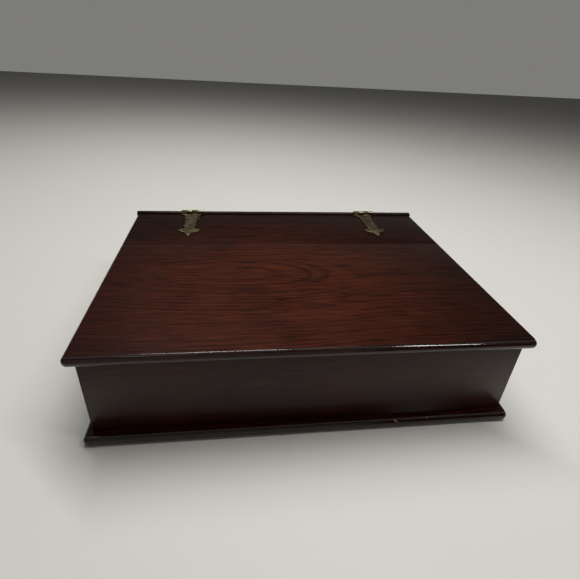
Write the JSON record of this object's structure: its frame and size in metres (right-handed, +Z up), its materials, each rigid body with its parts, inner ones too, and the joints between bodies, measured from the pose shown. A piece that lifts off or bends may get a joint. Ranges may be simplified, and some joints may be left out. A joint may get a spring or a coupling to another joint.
{
  "type": "hinged wooden keepsake case",
  "caption": "Low rectangular wooden keepsake case: flat moulded lid on spear-ended strap hinges, raised rounded rear rail, mitred walls and a matching moulded base board.",
  "frame": {"origin": "centre of the footprint, on the surface the case stands on", "axes": "+X to the right seen from the front, +Y towards the hinge side, +Z up"},
  "size_m": [0.413, 0.3354, 0.1077],
  "materials": {
    "lid_wood": "semi-gloss dark cherry lacquer",
    "case_wood": "semi-gloss dark cherry lacquer",
    "hinge_brass": "antique brass, satin",
    "screw_brass": "darkened brass"
  },
  "bodies": {
    "case": {"base_board": "case_wood", "front_panel": "case_wood", "left_panel": "case_wood", "right_panel": "case_wood", "back_panel": "case_wood", "back_rail": "lid_wood", "left_hinge_back_leaf": "hinge_brass", "left_hinge_pin": "hinge_brass", "left_back_screw_1": "screw_brass", "left_back_screw_2": "screw_brass", "right_hinge_back_leaf": "hinge_brass", "right_hinge_pin": "hinge_brass", "right_back_screw_1": "screw_brass", "right_back_screw_2": "screw_brass"},
    "lid": {"lid_board_front": "lid_wood", "lid_board_back": "lid_wood", "left_hinge_lid_leaf": "hinge_brass", "left_lid_screw_1": "screw_brass", "left_lid_screw_2": "screw_brass", "right_hinge_lid_leaf": "hinge_brass", "right_lid_screw_1": "screw_brass", "right_lid_screw_2": "screw_brass"}
  },
  "joints": [
    {"name": "lid_hinge", "type": "hinge", "parent": "case", "child": "lid", "pos_m": [0, 0.1555, 0.1047], "axis": [-1, 0, 0], "range_deg": [0, 180]}
  ]
}
